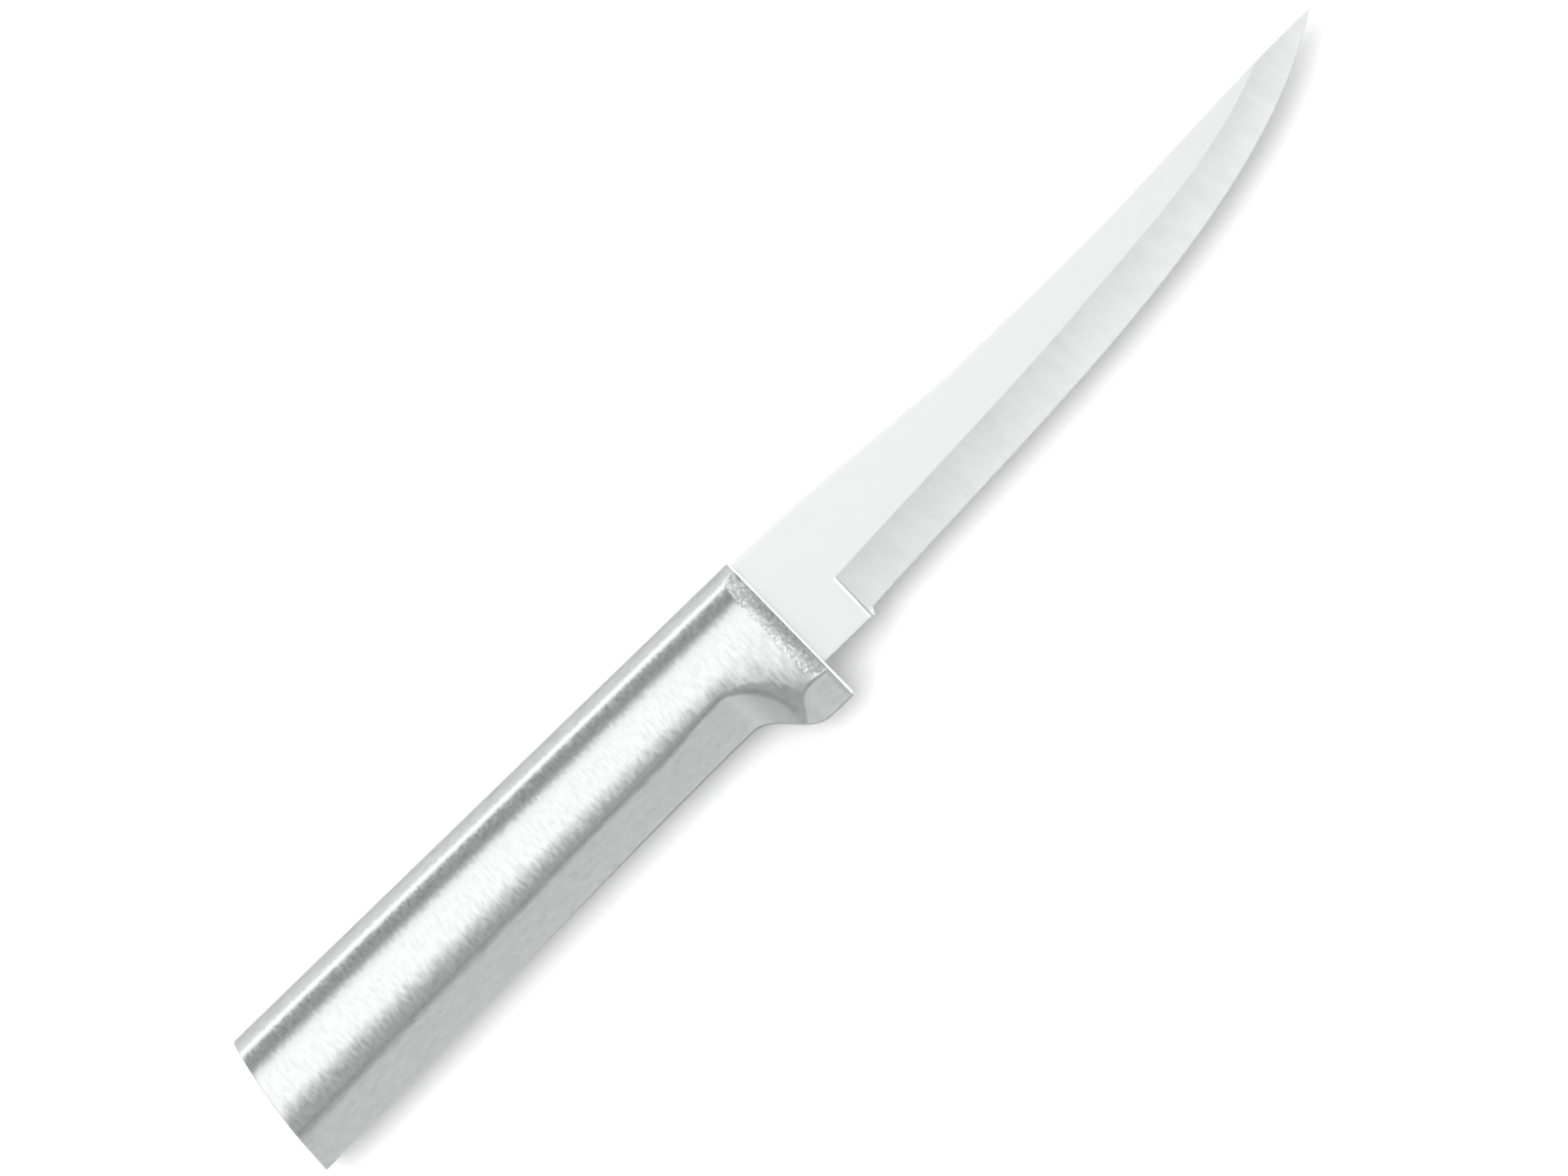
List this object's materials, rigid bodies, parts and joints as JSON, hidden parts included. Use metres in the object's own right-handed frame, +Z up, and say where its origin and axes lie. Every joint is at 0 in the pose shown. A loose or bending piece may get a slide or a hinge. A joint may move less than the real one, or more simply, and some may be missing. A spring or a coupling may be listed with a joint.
{
  "type": "paring knife",
  "caption": "Slim paring knife with a hollow-ground steel blade, a hidden tang and a one-piece brushed aluminium handle with a small finger guard.",
  "frame": {"origin": "middle of the knife's footprint as it lies on its side, on the surface that it lies on", "axes": "+X along the knife towards the point, +Y towards the spine, +Z up, square to the blade's flat sides"},
  "size_m": [0.1714, 0.0206, 0.0134],
  "materials": {
    "blade_steel": "satin flats with a fine grain along the blade, hollow grind with a grain across it",
    "handle_aluminium": "brushed across its length, with unbrushed cast skin beside the blade"
  },
  "bodies": {
    "root": {"blade": "blade_steel", "handle": "handle_aluminium"}
  },
  "joints": []
}
